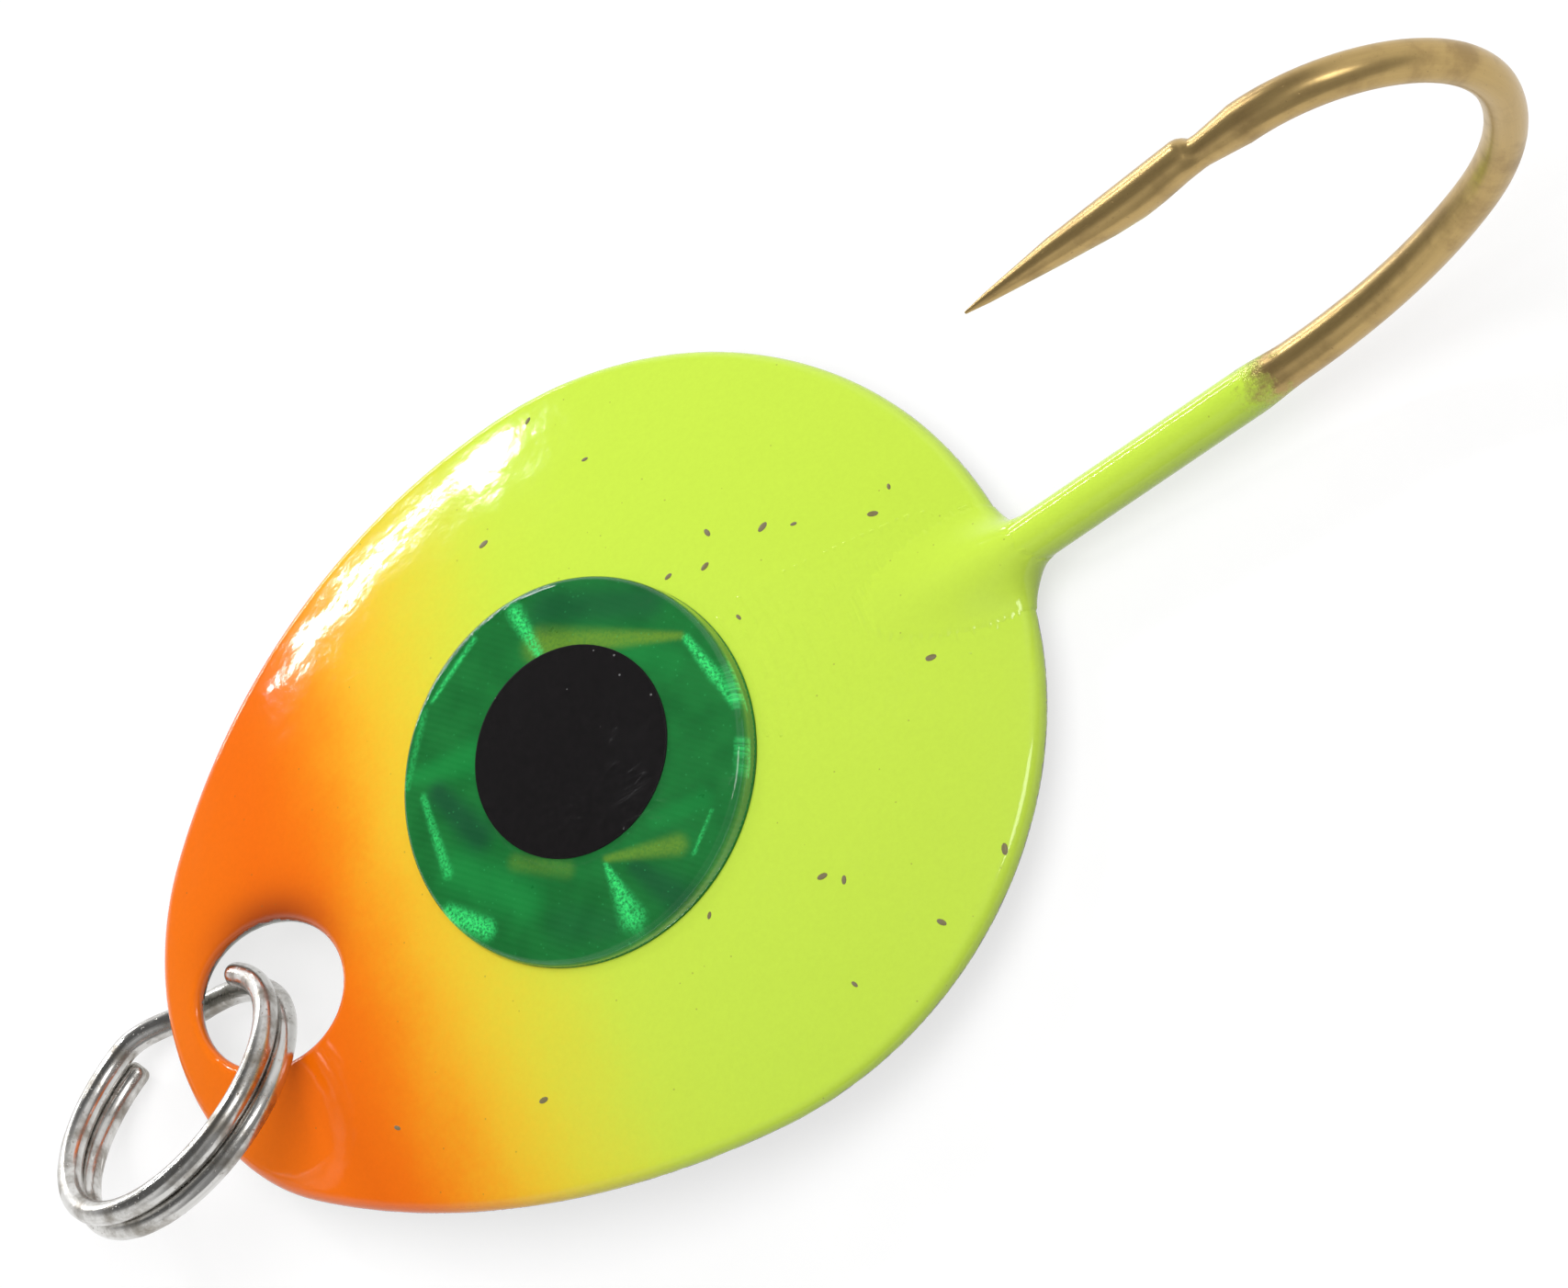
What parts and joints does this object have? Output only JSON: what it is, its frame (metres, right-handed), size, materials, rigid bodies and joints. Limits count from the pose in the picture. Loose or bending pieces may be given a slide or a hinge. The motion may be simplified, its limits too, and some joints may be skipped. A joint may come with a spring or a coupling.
{
  "type": "spoon fishing lure",
  "caption": "Small domed egg-shaped metal spoon with a stick-on eye, a hook soldered into its wide end and a split ring through an oval hole in its narrow end.",
  "frame": {"origin": "under the middle of the whole lure, on the surface it lies on", "axes": "+X from the split ring to the hook, +Z out of the painted front of the blade, +Y completes a right-handed frame"},
  "size_m": [0.0256, 0.0106, 0.0074],
  "materials": {
    "blade_paint": "glossy sprayed fade from orange over yellow to chartreuse on thin sheet metal, bare nickel-grey back",
    "hook_plating": "bronze-gold plated hook wire, first part of the shank painted chartreuse",
    "solder": "smooth grey solder, painted over where it fills the notch",
    "eye_foil": "green holographic film with facets",
    "eye_black": "black print",
    "eye_clear": "clear soft resin with a rounded shoulder",
    "ring_steel": "bright nickel-plated round wire"
  },
  "bodies": {
    "lure": {"blade": "blade_paint", "hook": "hook_plating", "solder_joint": "solder", "eye_film": "eye_foil", "eye_pupil": "eye_black", "eye_dome": "eye_clear"},
    "ring": {"split_ring": "ring_steel"}
  },
  "joints": [
    {"name": "ring_flop", "type": "hinge", "parent": "lure", "child": "ring", "pos_m": [-0.0108, -0.00052, 0.00125], "axis": [-0.9652, -0.2615, 0.0089], "range_deg": [0, 100]}
  ]
}
